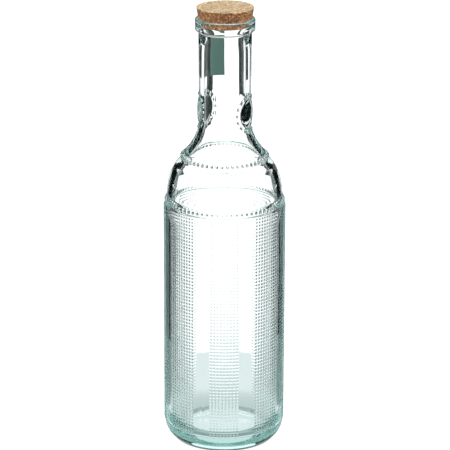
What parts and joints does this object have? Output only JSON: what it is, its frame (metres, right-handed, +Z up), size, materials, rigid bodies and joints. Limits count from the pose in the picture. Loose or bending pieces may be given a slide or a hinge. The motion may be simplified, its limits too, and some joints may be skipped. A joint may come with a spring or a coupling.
{
  "type": "corked glass bottle",
  "caption": "Tall round bottle of thick pale-green recycled glass with dotted panels, beaded shoulder rings and a straight neck, closed by a tapered cork.",
  "frame": {"origin": "centre of the foot, on the surface that the bottle stands on", "axes": "+Z up the bottle's axis to the cork; -Y is the side the picture shows; +X to its right"},
  "size_m": [0.0858, 0.0858, 0.3137],
  "materials": {
    "glass": "clear pale green with relief",
    "cork": "matt pressed cork grains"
  },
  "bodies": {
    "root": {"glass_bottle": "glass", "cork_stopper": "cork"}
  },
  "joints": []
}
